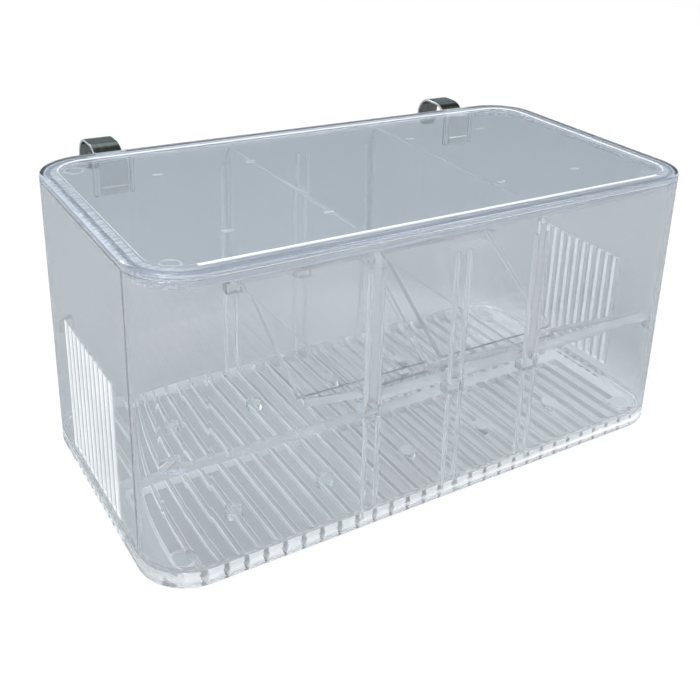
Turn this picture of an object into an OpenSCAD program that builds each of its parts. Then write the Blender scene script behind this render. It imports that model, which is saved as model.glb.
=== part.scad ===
// Clear breeding box for small fish, with lid, dividers, fry traps and hang-on hooks.
// Millimetres. X runs along the box, the front is -Y, the hooks are at +Y, Z is up.
// The origin is the centre of the underside.

/* [Box] */
// Outside length of the box
box_length = 205; // [160:1:260]
// Outside width of the box, front to back
box_width = 110; // [90:1:150]
// Height of the open box without its lid
box_height = 98.8; // [80:0.2:140]
// Outside radius of the four upright corners
corner_radius = 17; // [12:0.5:24]
// Thickness of the walls
wall = 1.8; // [1.2:0.1:2.4]
// Thickness of the floor
floor_thickness = 3; // [2:0.1:4]
// Outside radius along the bottom edge
bottom_radius = 1; // [0.6:0.1:2.5]
// Inside fillet between floor and wall
floor_fillet = 4.5; // [3:0.1:6]

/* [Floor slots] */
// Solid strip at each end of the rows of slots, from the box's end
floor_slot_end = 11.5; // [9:0.5:20]
// Distance from one floor slot to the next
floor_slot_pitch = 6.46; // [5:0.01:8]
// Width of a floor slot at the top of the floor
floor_slot_width = 4.2; // [2:0.1:4.6]
// How much wider each floor slot gets towards the underside
floor_slot_flare = 1; // [0:0.1:1.4]
// Solid strip between the two rows of slots
floor_strip = 6; // [4:0.5:12]
// Distance from the outside of the wall to the slot ends
floor_slot_margin = 2.8; // [2.6:0.1:10]
// Diameter of the round pads between the slots
floor_pad_diameter = 6; // [4:0.5:8]
// Distance between the round pads, as a share of the box length
pad_share = 0.1644; // [0.12:0.002:0.19]
// Distance of the pads from the middle line
pad_offset = 28; // [20:0.5:36]
// Diameter of the four bosses in the floor corners
boss_diameter = 8; // [5:0.5:10]
// Height of the corner bosses above the floor
boss_height = 0.8; // [0.4:0.1:2]
// Distance of the bosses and rings from the box sides
boss_inset = 12; // [10:0.5:16]

/* [End slots] */
// Number of upright slots in each end wall
end_slot_count = 11; // [5:2:13]
// Distance from one end slot to the next
end_slot_pitch = 4.4; // [4:0.1:6]
// Width of an end slot
end_slot_width = 2.8; // [1.5:0.1:3.2]
// Height of the lower end of the slots
end_slot_bottom = 8.5; // [8:0.5:20]
// Height of the upper end of the slots
end_slot_top = 56; // [40:1:75]
// Lower edge of the small windows under the slots
foot_window_bottom = 1; // [0.6:0.1:1.6]
// Height of the small windows
foot_window_height = 2.4; // [1.5:0.1:2.8]
// How far the small windows reach in under the floor's edge
foot_window_depth = 3.2; // [2:0.1:4]

/* [Ribs] */
// Clear gap between the two ribs of a pair
rib_gap = 3.5; // [3:0.1:5]
// Thickness of each rib
rib_thickness = 1.1; // [0.8:0.1:1.6]
// How far the ribs stand in from the wall
rib_depth = 1.5; // [1:0.1:2.2]
// Height of the top of the ribs
rib_top = 90; // [70:1:92]
// How far the stops stand in from the wall
stop_depth = 4.5; // [4:0.1:6]
// Height of the stops
stop_height = 4; // [3:0.5:8]
// Width of the ledge on each side of a rib pair
ledge_width = 1.55; // [1.3:0.05:2]
// How far a corner ledge reaches under the end of a trap
ledge_overlap = 1.3; // [0.8:0.1:3]
// How far a corner ledge stands out in front of the flange
ledge_front = 0.3; // [0.1:0.1:1]
// Thickness of the guide ribs beside the hooks
guide_thickness = 1.2; // [0.8:0.1:1.6]
// How far the guide ribs stand in from the wall
guide_depth = 2; // [1:0.1:2]
// Distance of the guide ribs' top below the rim
guide_drop = 0.8; // [0.4:0.1:3]

/* [Lid] */
// Thickness of the rim above the box wall
lid_rim_height = 2.2; // [1.6:0.1:3.5]
// Width of the raised rim
lid_rim_width = 6; // [4:0.1:8]
// Outside radius along the top edge of the rim
lid_edge_radius = 1; // [0.4:0.1:1.4]
// Depth of the panel below the rim
lid_panel_drop = 1; // [0.5:0.1:1.2]
// Thickness of the panel
lid_panel_thickness = 1.8; // [1.4:0.1:2]
// Depth of the locating lip below the rim
lid_lip_depth = 3; // [2:0.1:4]
// Thickness of the locating lip
lid_lip_thickness = 1.5; // [1:0.1:1.8]
// Length of the small raised pads on the panel
lid_pad_length = 4; // [3:0.5:6]
// Width of the small raised pads
lid_pad_width = 2; // [1:0.5:3]
// Height of the small raised pads
lid_pad_height = 0.5; // [0.3:0.1:0.8]
// Outside diameter of the ring marks in the corners
ring_diameter = 7.5; // [5:0.5:9]
// Width of the ring marks
ring_width = 0.8; // [0.4:0.1:1.5]
// Height of the ring marks
ring_height = 0.3; // [0.2:0.1:0.6]

/* [Dividers] */
// Thickness of a divider plate
divider_thickness = 1.8; // [1.2:0.1:2.4]
// Width of the bead along each upright edge
bead_width = 2.6; // [2:0.1:2.9]
// Depth of the bead
bead_depth = 3; // [2:0.1:4]
// Height of the bottom edge of a divider
divider_bottom = 45.5; // [35:0.5:60]
// Width of the cut across each top corner
divider_corner_cut = 3.5; // [3:0.1:5]
// Height of the cut across each top corner
divider_corner_drop = 3.7; // [3:0.1:6]

/* [Fry traps] */
// Length of the ears, where the flange is longer than the plate
trap_ear = 1.5; // [1:0.1:3]
// Width of the top flange
trap_flange_width = 3; // [2:0.1:4]
// Thickness of the top flange
trap_flange_thickness = 2; // [1.5:0.1:3]
// Thickness of the sloping plate
trap_plate_thickness = 2; // [1.4:0.1:2.4]
// Width of the raised rims along the plate sides
trap_rim_width = 2.4; // [1.5:0.1:4]
// Height of the raised rims
trap_rim_height = 1; // [0.5:0.1:1.5]
// Gap between the two plates at the bottom of the V
trap_gap = 4; // [2:0.5:8]
// Height of the plate's lower edge
trap_tip_height = 14.8; // [10:0.1:24]

/* [Hooks] */
// Distance of each hook's middle from the box's end
hook_inset = 28; // [24:0.5:45]
// Width of the hook strip
hook_width = 10; // [6:0.5:14]
// Thickness of the hook strip
hook_thickness = 1; // [0.8:0.1:1.2]
// Gap between the back wall and the outer leg, for the glass rim of the tank
glass_gap = 20; // [16:0.5:24]
// Height of the hook's top above the lid
hook_rise = 1; // [0.5:0.1:2]
// Outside radius at the two top bends
hook_bend_radius = 8; // [7.5:0.1:9]
// Inside radius of the small bends at the rim
hook_small_bend = 0.4; // [0.3:0.05:0.6]
// Length of the outer leg from the hook's top
hook_leg_length = 14.5; // [12.5:0.5:45]
// Reach of the inner leg below the rim
hook_inner_length = 14; // [8:0.2:25]
// Gap between the inner leg and the wall
hook_wall_gap = 0.7; // [0.5:0.1:1]
// Height of the small ridge above the inner leg's end
hook_ridge_offset = 2.5; // [2:0.1:6]
// Radius of the small ridge
hook_ridge_radius = 0.8; // [0.6:0.05:0.9]
// How far the rim notch reaches down into the wall
notch_depth = 2.5; // [2:0.1:4]

/* [Fits] */
// Clearance between the lid's lip and the wall
lid_clearance = 0.3; // [0.2:0.05:0.5]
// Clearance between a divider's edge and the wall
divider_clearance = 0.3; // [0.2:0.05:0.6]
// Clearance between a divider's top and the lid's panel
divider_top_clearance = 0.9; // [0.4:0.1:2]
// Clearance between a trap's flange and the ribs
trap_clearance = 0.9; // [0.4:0.1:1.4]
// Gap between a trap's end and a divider's bead in the centre bay
trap_end_gap = 0.5; // [0.3:0.05:1]
// The same gap in the right-hand bay
trap_side_gap = 0.8; // [0.4:0.05:1.2]
// Clearance between a trap's outer end and the corner of the box
trap_corner_gap = 0.4; // [0.3:0.05:1]
// Clearance between the lid's back edge and the hooks
hook_clearance = 0.3; // [0.2:0.05:0.6]
// Side clearance between a hook and its notch
notch_clearance = 0.3; // [0.2:0.05:1]
// Side clearance between a hook and its guide ribs
guide_clearance = 0.9; // [0.4:0.1:1.5]

/* [Hidden] */
$fn = 96;
eps = wall / 4;
over = wall;
half_l = box_length / 2;
half_w = box_width / 2;
inner_l = half_l - wall;
inner_w = half_w - wall;
// Flat part of the floor, inside the fillet
flat_inset = wall + floor_fillet;
floor_slot_far = half_w - floor_slot_margin;
floor_slot_side = floor((half_l - floor_slot_end) / floor_slot_pitch);
pad_pitch = box_length * pad_share;
floor_slot_near = floor_strip / 2;
// Trap flange, seated on the ledges
flange_out = inner_w - rib_depth - trap_clearance;
flange_in = flange_out - trap_flange_width;
flange_top = divider_bottom;
// The corner of the box limits the right-hand trap; the centre bay takes the same part
corner_in = corner_radius - wall;
corner_y = flange_out - (half_w - corner_radius);
right_limit = half_l - corner_radius + sqrt(corner_in * corner_in - corner_y * corner_y) - trap_corner_gap;
divider_pitch = (right_limit + bead_width / 2 + 2 * trap_end_gap - trap_side_gap) / 3;
trap_length = 2 * divider_pitch - bead_width - 2 * trap_end_gap;
trap_plate_width = trap_length - 2 * trap_ear;
right_trap_x = right_limit - trap_length / 2;
ledge_top = flange_top - trap_flange_thickness;
stop_bottom = ledge_top - stop_height;
// Sloping plate of a trap, from the flange down to the tip
tip_in = trap_gap / 2;
slope = atan2(flange_top - trap_tip_height - trap_plate_thickness, flange_in - tip_in);
tip_top = flange_top - (flange_in - tip_in) * tan(slope);
// Lid levels
lid_top = box_height + lid_rim_height;
panel_top = lid_top - lid_panel_drop;
panel_bottom = panel_top - lid_panel_thickness;
lip_out = wall + lid_clearance;
divider_top = panel_bottom - divider_top_clearance;
divider_half = inner_w - divider_clearance;
// Hook path, front to back
hook_x = half_l - hook_inset;
hook_top = lid_top + hook_rise;
hook_leg_bottom = hook_top - hook_leg_length;
hook_inner_bottom = box_height - hook_inner_length;
hook_ridge_height = hook_inner_bottom + hook_ridge_offset;
hook_front = half_w + hook_clearance;
hook_back = half_w + glass_gap + hook_thickness;
hook_turn = hook_top - hook_bend_radius;
// The front bend starts at the level of the crossing's underside
hook_low = box_height - notch_depth - hook_turn;
hook_front_bend = hook_front + sqrt(hook_bend_radius * hook_bend_radius - hook_low * hook_low);
notch_bottom = box_height - notch_depth;
inner_leg = inner_w - hook_wall_gap - hook_thickness;
guide_in = hook_width / 2 + guide_clearance;
back_lip_start = hook_x + guide_in + guide_thickness + 2 * lid_clearance;

// Rounded rectangle in plan
module round_rect(l, w, r) {
    square([l, w - 2 * r], center = true);
    square([l - 2 * r, w], center = true);
    for (sx = [-1, 1]) {
        for (sy = [-1, 1]) {
            translate([sx * (l / 2 - r), sy * (w / 2 - r)]) circle(r);
        }
    }
}

// Flat slab with the rounded plan, between two heights
module slab(l, w, r, z0, z1) {
    translate([0, 0, z0]) linear_extrude(z1 - z0) round_rect(l, w, r);
}

// A wall section swept round a rounded rectangle; the section has x = 0 on the outside
module swept(l, w, r) {
    cx = l / 2 - r;
    cy = w / 2 - r;
    for (k = [0:3]) {
        px = (k == 0 || k == 3) ? cx : -cx;
        py = (k < 2) ? cy : -cy;
        translate([px, py, 0]) rotate([0, 0, 90 * k])
            rotate_extrude(angle = 90) translate([r, 0]) children();
    }
    for (s = [0, 180]) {
        rotate([0, 0, s]) translate([l / 2, cy, 0])
            rotate([90, 0, 0]) linear_extrude(2 * cy) children();
        rotate([0, 0, s + 90]) translate([w / 2, cx, 0])
            rotate([90, 0, 0]) linear_extrude(2 * cx) children();
    }
}

// Section of the box wall with its rounded bottom edge and inside fillet
module wall_section() {
    translate([-wall, bottom_radius]) square([wall, box_height - bottom_radius]);
    translate([-bottom_radius, bottom_radius]) intersection() {
        circle(bottom_radius);
        translate([0, -bottom_radius]) square(bottom_radius);
    }
    translate([-flat_inset - eps, 0]) square([flat_inset + eps - bottom_radius, floor_thickness]);
    fillet_base = min(bottom_radius, floor_thickness);
    difference() {
        translate([-flat_inset, fillet_base])
            square([floor_fillet + wall / 2, floor_thickness + floor_fillet - fillet_base]);
        translate([-flat_inset, floor_thickness + floor_fillet]) circle(floor_fillet);
    }
}

// Section of one floor slot, wider towards the underside
module slot_section() {
    lean = floor_slot_flare / 2 / floor_thickness;
    high = floor_thickness + floor_fillet;
    a = floor_slot_width / 2 + lean * (floor_thickness + over);
    b = floor_slot_width / 2 - lean * floor_fillet;
    polygon([[-a, -over], [a, -over], [b, high], [-b, high]]);
}

// Both rows of slots through the floor
module floor_slots() {
    corner_x = half_l - corner_radius;
    for (i = [-floor_slot_side:floor_slot_side]) {
        x = i * floor_slot_pitch;
        past = max(0, abs(x) + (floor_slot_width + floor_slot_flare) / 2 - corner_x);
        corner_cut = corner_radius - sqrt(corner_radius * corner_radius - past * past);
        run = floor_slot_far - corner_cut - floor_slot_near;
        for (s = [-1, 1]) {
            translate([x, s * (floor_slot_near + run / 2), 0])
                rotate([90, 0, 0]) linear_extrude(run, center = true) slot_section();
        }
    }
}

// Upright slots in both end walls, with the small windows below them
module end_slots() {
    for (i = [0:end_slot_count - 1]) {
        y = (i - (end_slot_count - 1) / 2) * end_slot_pitch - end_slot_width / 2;
        for (s = [0, 1]) {
            mirror([s, 0, 0]) {
                translate([inner_l - eps, y, end_slot_bottom])
                    cube([wall + over, end_slot_width, end_slot_top - end_slot_bottom]);
                translate([inner_l - foot_window_depth, y, foot_window_bottom])
                    cube([foot_window_depth + wall + over, end_slot_width, foot_window_height]);
            }
        }
    }
}

// Round pads between the floor slots and bosses in the corners
module floor_pads() {
    for (i = [-2:2]) {
        for (s = [-1, 1]) {
            translate([i * pad_pitch, s * pad_offset, 0])
                cylinder(h = floor_thickness, d = floor_pad_diameter);
        }
    }
    for (sx = [-1, 1]) {
        for (sy = [-1, 1]) {
            translate([sx * (half_l - boss_inset), sy * (half_w - boss_inset), 0])
                cylinder(h = floor_thickness + boss_height, d = boss_diameter);
        }
    }
}

// A pair of ribs with its stop and ledges, on the back wall
module rib_pair(x, stop_top) {
    rib_base = floor_thickness - eps;
    for (s = [-1, 1]) {
        rib_x = x + s * (rib_gap + rib_thickness) / 2 - rib_thickness / 2;
        translate([rib_x, inner_w - rib_depth, rib_base])
            cube([rib_thickness, rib_depth + wall / 2, rib_top - rib_base]);
    }
    translate([x - rib_gap / 2 - ledge_width, inner_w - stop_depth, stop_bottom])
        cube([rib_gap + 2 * ledge_width, stop_depth + wall / 2, stop_height]);
    translate([x - rib_gap / 2, inner_w - stop_depth, stop_bottom])
        cube([rib_gap, stop_depth + wall / 2, stop_top - stop_bottom]);
}

// Rib pairs on both long walls; the middle stop stays level with the ledges
module ribs() {
    for (s = [0, 1]) {
        mirror([0, s, 0]) {
            rib_pair(-divider_pitch, divider_bottom);
            rib_pair(0, ledge_top);
            rib_pair(divider_pitch, divider_bottom);
        }
    }
}

// Ledges in the corners for the outer ends of a trap
module corner_ledges() {
    reach = trap_length / 2;
    start = right_trap_x + reach - ledge_overlap;
    intersection() {
        for (sx = [0, 1]) {
            mirror([sx, 0, 0]) {
                translate([start, -half_w, stop_bottom]) cube([half_l - start, half_w * 2, stop_height]);
            }
        }
        slab(box_length - wall, box_width - wall, corner_radius - wall / 2, stop_bottom, ledge_top);
        union() {
            for (sy = [0, 1]) {
                mirror([0, sy, 0]) {
                    translate([-half_l, flange_in - ledge_front, stop_bottom])
                        cube([box_length, half_w, stop_height]);
                }
            }
        }
    }
}

// Short ribs beside the inner leg of each hook
module hook_guides() {
    for (sx = [-1, 1]) {
        for (s = [0, 1]) {
            translate([sx * hook_x, 0, 0]) mirror([s, 0, 0])
                translate([guide_in, inner_w - guide_depth, hook_inner_bottom])
                cube([guide_thickness, guide_depth + wall / 2, hook_inner_length - guide_drop]);
        }
    }
}

// Notches in the rim of the back wall where the hooks cross
module rim_notches() {
    for (sx = [-1, 1]) {
        translate([sx * hook_x - hook_width / 2 - notch_clearance, inner_w - eps, notch_bottom])
            cube([hook_width + 2 * notch_clearance, wall + over, notch_depth + over]);
    }
}

module box() {
    color([0.78, 0.84, 0.88, 0.35]) {
        difference() {
            union() {
                difference() {
                    union() {
                        swept(box_length, box_width, corner_radius) wall_section();
                        slab(box_length - 2 * flat_inset, box_width - 2 * flat_inset,
                            corner_radius - flat_inset, 0, floor_thickness);
                    }
                    floor_slots();
                }
                floor_pads();
                ribs();
                corner_ledges();
                hook_guides();
            }
            end_slots();
            rim_notches();
        }
    }
}

// Section of the lid's raised rim
module lid_rim_section() {
    r = lid_edge_radius;
    translate([-lid_rim_width, box_height]) square([lid_rim_width, lid_rim_height - r]);
    translate([-lid_rim_width, lid_top - r]) square([lid_rim_width - r, r]);
    translate([-r, lid_top - r]) intersection() {
        circle(r);
        square(r);
    }
}

// Section of the lip that locates the lid inside the wall
module lid_lip_section() {
    translate([-lip_out - lid_lip_thickness, box_height - lid_lip_depth])
        square([lid_lip_thickness, lid_lip_depth + eps]);
}

// Small pads and ring marks under the lid's panel
module lid_marks() {
    for (i = [-2, -1, 1, 2]) {
        for (s = [-1, 1]) {
            translate([i * pad_pitch, s * pad_offset, panel_bottom - lid_pad_height])
                linear_extrude(lid_pad_height + eps)
                round_rect(lid_pad_length, lid_pad_width, lid_pad_width * 0.49);
        }
    }
    for (sx = [-1, 1]) {
        for (sy = [-1, 1]) {
            translate([sx * (half_l - boss_inset), sy * (half_w - boss_inset), panel_bottom - ring_height])
                difference() {
                    cylinder(h = ring_height + eps, d = ring_diameter);
                    translate([0, 0, -over]) cylinder(h = 3 * over, d = ring_diameter - 2 * ring_width);
                }
        }
    }
}

module lid() {
    color([0.72, 0.78, 0.84, 0.35]) {
        swept(box_length, box_width, corner_radius) lid_rim_section();
        slab(box_length - 2 * lid_rim_width + eps, box_width - 2 * lid_rim_width + eps,
            corner_radius - lid_rim_width + eps / 2, panel_bottom, panel_top);
        difference() {
            swept(box_length, box_width, corner_radius) lid_lip_section();
            translate([-back_lip_start, 0, 0]) cube([2 * back_lip_start, half_w, box_height]);
        }
        lid_marks();
    }
}

// One divider, centred on its own plate
module divider() {
    h = divider_top - divider_bottom;
    cut_y = divider_half - divider_corner_cut;
    cut_z = divider_top - divider_corner_drop;
    difference() {
        union() {
            translate([-divider_thickness / 2, -divider_half + bead_depth / 2, divider_bottom])
                cube([divider_thickness, 2 * divider_half - bead_depth, h]);
            for (s = [0, 1]) {
                mirror([0, s, 0]) translate([-bead_width / 2, divider_half - bead_depth, divider_bottom])
                    cube([bead_width, bead_depth, h]);
            }
        }
        for (s = [0, 1]) {
            mirror([0, s, 0]) rotate([90, 0, 90]) linear_extrude(4 * bead_width, center = true)
                polygon([[cut_y, divider_top], [divider_half, cut_z], [divider_half + over, cut_z],
                    [divider_half + over, divider_top + over], [cut_y, divider_top + over]]);
        }
    }
}

module divider_left() {
    color([0.76, 0.83, 0.87, 0.35]) translate([-divider_pitch, 0, 0]) divider();
}

module divider_right() {
    color([0.76, 0.83, 0.87, 0.35]) translate([divider_pitch, 0, 0]) divider();
}

// Section of a trap panel: flange and sloping plate, on the back side
module trap_section() {
    t = trap_plate_thickness;
    under = (t / cos(slope) - trap_flange_thickness) / tan(slope);
    polygon([[flange_out, flange_top], [flange_in, flange_top], [tip_in, tip_top],
        [tip_in + t * sin(slope), tip_top - t * cos(slope)], [flange_in - under, ledge_top],
        [flange_out, ledge_top]]);
}

// Section of the raised rim along a plate's side
module trap_rim_section() {
    h = trap_rim_height;
    polygon([[flange_in, flange_top], [flange_in - h / sin(slope), flange_top],
        [tip_in - h * sin(slope), tip_top + h * cos(slope)], [tip_in, tip_top],
        [tip_in + h / 2 * sin(slope), tip_top - h / 2 * cos(slope)],
        [flange_in + h / 2 * sin(slope), flange_top - h / 2 * cos(slope)]]);
}

// One trap panel on the back side of its bay
module trap_panel(x) {
    translate([x, 0, 0]) {
        difference() {
            rotate([90, 0, 90]) linear_extrude(trap_length, center = true) trap_section();
            for (s = [0, 1]) {
                mirror([s, 0, 0]) translate([trap_plate_width / 2, 0, 0])
                    cube([trap_length, flange_in, flange_top + over]);
            }
        }
        for (s = [-1, 1]) {
            translate([s * (trap_plate_width - trap_rim_width) / 2, 0, 0])
                rotate([90, 0, 90]) linear_extrude(trap_rim_width, center = true) trap_rim_section();
        }
    }
}

module center_back_panel() {
    color([0.8, 0.85, 0.88, 0.35]) trap_panel(0);
}

module center_front_panel() {
    color([0.8, 0.85, 0.88, 0.35]) mirror([0, 1, 0]) trap_panel(0);
}

module right_back_panel() {
    color([0.8, 0.85, 0.88, 0.35]) trap_panel(right_trap_x);
}

module right_front_panel() {
    color([0.8, 0.85, 0.88, 0.35]) mirror([0, 1, 0]) trap_panel(right_trap_x);
}

// Quarter of a bent strip, from angle a, with inside radius r
module bend(r, a) {
    rotate([0, 0, a]) intersection() {
        difference() {
            circle(r + hook_thickness);
            circle(r);
        }
        square(r + 2 * hook_thickness);
    }
}

// Area under an arch with two bends of radius r
module arch_area(r) {
    back_bend = hook_back - hook_bend_radius;
    translate([hook_front_bend, hook_turn]) circle(r);
    translate([back_bend, hook_turn]) circle(r);
    translate([hook_front_bend, hook_turn]) square([back_bend - hook_front_bend, r]);
}

// Side view of a hook strip above its outer leg
module hook_section() {
    t = hook_thickness;
    r = hook_bend_radius - t;
    cross_y = inner_leg + t + hook_small_bend;
    cross_end = hook_front_bend - sqrt(r * r - hook_low * hook_low);
    translate([inner_leg, hook_inner_bottom])
        square([t, notch_bottom - hook_small_bend - hook_inner_bottom]);
    translate([cross_y, notch_bottom - hook_small_bend]) bend(hook_small_bend, 90);
    translate([cross_y, notch_bottom]) square([cross_end - cross_y, t]);
    intersection() {
        difference() {
            arch_area(hook_bend_radius);
            arch_area(r);
        }
        union() {
            translate([hook_front - t, notch_bottom]) square([hook_back - hook_front, hook_bend_radius]);
            translate([hook_back - hook_bend_radius, hook_turn])
                square([hook_bend_radius + t, hook_bend_radius + t]);
        }
    }
    translate([inner_leg + hook_thickness * 0.4, hook_ridge_height]) circle(hook_ridge_radius);
}

// One hook, centred on its own strip
module hook() {
    t = hook_thickness;
    round_r = hook_width * 0.35;
    rotate([90, 0, 90]) linear_extrude(hook_width, center = true) hook_section();
    translate([0, hook_back, 0]) rotate([90, 0, 0]) linear_extrude(t) {
        translate([-hook_width / 2, hook_leg_bottom + round_r])
            square([hook_width, hook_turn - hook_leg_bottom - round_r]);
        translate([-hook_width / 2 + round_r, hook_leg_bottom]) square([hook_width - 2 * round_r, round_r]);
        for (s = [-1, 1]) {
            translate([s * (hook_width / 2 - round_r), hook_leg_bottom + round_r]) circle(round_r);
        }
    }
}

module hook_left() {
    color([0.62, 0.64, 0.66]) translate([-hook_x, 0, 0]) hook();
}

module hook_right() {
    color([0.62, 0.64, 0.66]) translate([hook_x, 0, 0]) hook();
}

box();
lid();
divider_left();
divider_right();
center_back_panel();
center_front_panel();
right_back_panel();
right_front_panel();
hook_left();
hook_right();
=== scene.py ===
import math
import bmesh
import bpy
import numpy as np
from mathutils import Matrix, Vector


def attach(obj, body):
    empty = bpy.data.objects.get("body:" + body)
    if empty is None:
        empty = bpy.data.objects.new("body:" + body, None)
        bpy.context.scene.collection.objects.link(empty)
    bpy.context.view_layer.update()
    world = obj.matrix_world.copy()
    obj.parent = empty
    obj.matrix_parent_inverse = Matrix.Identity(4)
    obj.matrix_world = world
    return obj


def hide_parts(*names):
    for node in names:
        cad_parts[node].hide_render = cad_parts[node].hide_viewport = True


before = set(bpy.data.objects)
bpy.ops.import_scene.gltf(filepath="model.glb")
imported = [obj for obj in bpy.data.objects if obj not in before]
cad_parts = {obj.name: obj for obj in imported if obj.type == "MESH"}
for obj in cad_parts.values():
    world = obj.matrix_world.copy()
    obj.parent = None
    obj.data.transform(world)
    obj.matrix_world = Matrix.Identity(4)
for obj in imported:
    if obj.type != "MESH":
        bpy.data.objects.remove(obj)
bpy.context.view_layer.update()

mm = 0.001                                   # every size below is in millimetres
over = 1                                     # how far a tool reaches past what it cuts or joins


# Plan of a rounded rectangle, anticlockwise: one centre and one outward normal per column.
# Each corner is a quarter turn; stops adds columns at those x on the back side.
def roundedPlan(length, width, radius, cornerSteps, stops=()):
    cx, cy = length / 2 - radius, width / 2 - radius
    turn = np.linspace(0, math.pi / 2, cornerSteps + 1)
    corners = [(cx, cy), (-cx, cy), (-cx, -cy), (cx, -cy)]
    parts = []
    for k, (px, py) in enumerate(corners):
        a = turn + k * math.pi / 2
        parts.append(np.stack([np.full_like(a, px), np.full_like(a, py), np.cos(a), np.sin(a)], 1))
        if k == 0 and len(stops):
            x = np.array(sorted(stops, reverse=True), float)
            parts.append(np.stack([x, np.full_like(x, cy), np.zeros_like(x), np.ones_like(x)], 1))
    table = np.concatenate(parts)
    return table[:, :2], table[:, 2:]


# Points on an arc: centre plus radius times (cos, sin), from one angle to another in degrees
def arc(cu, cv, radius, fromDeg, toDeg, steps):
    a = np.radians(np.linspace(fromDeg, toDeg, steps + 1))
    return np.stack([cu + radius * np.cos(a), cv + radius * np.sin(a)], 1)


# Quads between neighbouring rows and columns of a grid of rows x cols points
def gridFaces(rows, cols, closeCols=True, closeRows=False):
    r = np.arange(rows if closeRows else rows - 1)[:, None]
    c = np.arange(cols if closeCols else cols - 1)[None, :]
    r1, c1 = (r + 1) % rows, (c + 1) % cols
    quads = np.stack([r * cols + c + 0 * r1, r * cols + c1, r1 * cols + c1, r1 * cols + c + 0 * r], -1)
    return quads.reshape(-1, 4)


# Points in millimetres and faces become an object in the scene
def meshObject(name, points, faces):
    mesh = bpy.data.meshes.new(name)
    mesh.from_pydata((np.asarray(points, float) * mm).tolist(), [], [list(map(int, f)) for f in faces])
    mesh.validate()
    obj = bpy.data.objects.new(name, mesh)
    bpy.context.scene.collection.objects.link(obj)
    return obj


# A wall section (inset, height) carried round a rounded plan: P = centre + (radius - inset) * normal.
# The first and last rows are closed with one face each.
def sweptShell(name, section, plan, radius, change=None):
    centres, normals = plan
    inset, height = section[:, 0], section[:, 1]
    reach = radius - inset
    flat = centres[None] + reach[:, None, None] * normals[None]
    points = np.concatenate([flat, np.broadcast_to(height[:, None, None], flat.shape[:2] + (1,))], 2).copy()
    if change is not None:
        points = change(points, inset[:, None], normals[None])
    rows, cols = points.shape[:2]
    faces = gridFaces(rows, cols).tolist()
    faces.append(list(range(cols))[::-1])
    faces.append(list(range((rows - 1) * cols, rows * cols)))
    return meshObject(name, points.reshape(-1, 3), faces)


# Many prisms in one mesh. outline is (u, v) points; each row of places is an origin and three
# axes a, b, c: P = origin + u*a + v*b + w*c, with w running from low to high.
def prisms(name, outline, places, low, high):
    outline = np.asarray(outline, float)
    places = np.asarray(places, float).reshape(-1, 4, 3)
    k, n = len(outline), len(places)
    w = np.array([low, high], float)
    ring = (places[:, None, None, 0] + outline[None, None, :, 0, None] * places[:, None, None, 1]
            + outline[None, None, :, 1, None] * places[:, None, None, 2]
            + w[None, :, None, None] * places[:, None, None, 3])
    side = gridFaces(2, k)
    shift = (np.arange(n) * 2 * k)[:, None, None]
    faces = (side[None] + shift).reshape(-1, 4).tolist()
    lower = np.arange(k)[::-1][None] + shift[:, 0]
    upper = (np.arange(k) + k)[None] + shift[:, 0]
    faces += lower.tolist() + upper.tolist()
    obj = meshObject(name, ring.reshape(-1, 3), faces)
    faceOut(obj)
    return obj


# Turns every face outwards
def faceOut(obj):
    work = bmesh.new()
    work.from_mesh(obj.data)
    bmesh.ops.recalc_face_normals(work, faces=work.faces)
    work.to_mesh(obj.data)
    work.free()


# Joins or cuts obj with tool and keeps the result as a plain mesh
def combine(obj, tool, operation):
    change = obj.modifiers.new("change", "BOOLEAN")
    change.operation, change.object, change.solver = operation, tool, "EXACT"
    graph = bpy.context.evaluated_depsgraph_get()
    done = bpy.data.meshes.new_from_object(obj.evaluated_get(graph))
    obj.modifiers.remove(change)
    old, obj.data = obj.data, done
    bpy.data.meshes.remove(old)
    bpy.data.objects.remove(tool, do_unlink=True)
    return obj


# Merges doubles and drops slivers; both lengths are in millimetres
def cleanMesh(obj, sliver, double=0.002):
    work = bmesh.new()
    work.from_mesh(obj.data)
    bmesh.ops.remove_doubles(work, verts=work.verts, dist=double * mm)
    bmesh.ops.dissolve_degenerate(work, dist=sliver * mm, edges=work.edges)
    work.to_mesh(obj.data)
    work.free()


# Merges doubles, joins flat faces and rounds every sharp edge
def softenEdges(obj, width, steps=2, sharpDeg=30, flatDeg=0.5, double=0.002):
    work = bmesh.new()
    work.from_mesh(obj.data)
    bmesh.ops.remove_doubles(work, verts=work.verts, dist=double * mm)
    bmesh.ops.dissolve_limit(work, angle_limit=math.radians(flatDeg), verts=work.verts, edges=work.edges)
    limit = math.radians(sharpDeg)
    sharp = [e for e in work.edges if len(e.link_faces) == 2 and e.calc_face_angle(0) > limit]
    bmesh.ops.bevel(work, geom=sharp, offset=width * mm, offset_type="OFFSET", segments=steps, profile=0.5,
                    affect="EDGES", clamp_overlap=True)
    bmesh.ops.recalc_face_normals(work, faces=work.faces)
    work.to_mesh(obj.data)
    work.free()


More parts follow.
